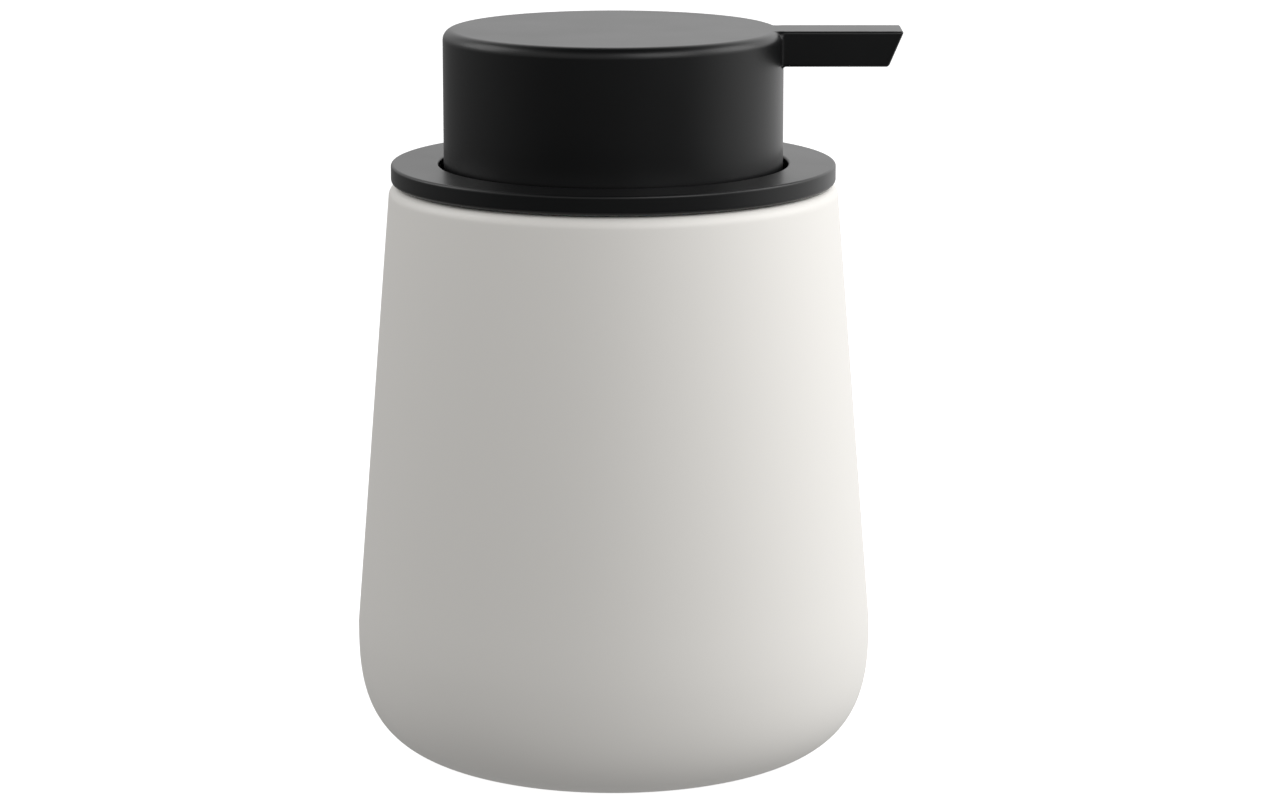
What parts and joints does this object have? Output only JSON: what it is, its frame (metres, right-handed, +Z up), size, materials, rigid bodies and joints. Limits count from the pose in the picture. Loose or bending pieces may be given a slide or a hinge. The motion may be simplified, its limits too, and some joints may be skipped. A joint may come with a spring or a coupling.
{
  "type": "soap pump dispenser",
  "caption": "Countertop liquid soap dispenser: a round ceramic bottle with a lift-out press pump under a wide sinking cap with a flat straight spout.",
  "frame": {"origin": "on the bottle's vertical axis, at the centre of the underside of the anti-slip pad that the dispenser stands on", "axes": "+Z up along the pump's axis, +X along the spout towards its tip, +Y across the spout"},
  "size_m": [0.0841, 0.08, 0.1134],
  "materials": {
    "soft_touch_ceramic": "matte warm white soft-touch coating",
    "black_plastic": "fine satin grain, black",
    "clear_plastic": "natural translucent",
    "white_plastic": "smooth white",
    "silicone": "milky silicone",
    "pad_rubber": "matte dark foam rubber",
    "stainless_steel": "polished stainless"
  },
  "bodies": {
    "bottle": {"bottle": "soft_touch_ceramic", "foot_pad": "pad_rubber"},
    "pump_unit": {"collar_ring": "black_plastic", "pump_well": "black_plastic", "mouth_seal": "silicone", "neck_gasket": "silicone", "closure_nut": "black_plastic", "pump_housing": "clear_plastic", "stem_guide": "white_plastic", "dip_tube": "clear_plastic", "ball_cage": "white_plastic", "return_spring": "stainless_steel"},
    "inlet_ball": {"inlet_ball": "stainless_steel"},
    "stem": {"stem": "white_plastic", "piston_rod": "white_plastic", "piston_seal": "clear_plastic"},
    "outlet_ball": {"outlet_ball": "stainless_steel"},
    "head": {"pump_cap": "black_plastic", "nozzle_core": "white_plastic"}
  },
  "joints": [
    {"name": "pump_lift", "type": "slide", "parent": "bottle", "child": "pump_unit", "axis": [0, 0, 1], "range_m": [0, 0.095]},
    {"name": "pump_press", "type": "slide", "parent": "pump_unit", "child": "stem", "axis": [0, 0, -1], "range_m": [0, 0.012], "stiffness_N_per_m": 600, "springref_m": -0.01, "deforming": ["return_spring"]},
    {"name": "head_swivel", "type": "hinge", "parent": "stem", "child": "head", "pos_m": [0, 0, 0.105], "axis": [0, 0, 1], "continuous": true},
    {"name": "inlet_ball_lift", "type": "slide", "parent": "pump_unit", "child": "inlet_ball", "axis": [0, 0, 1], "range_m": [0, 0.0013]},
    {"name": "outlet_ball_lift", "type": "slide", "parent": "stem", "child": "outlet_ball", "axis": [0, 0, 1], "range_m": [0, 0.0028]}
  ]
}
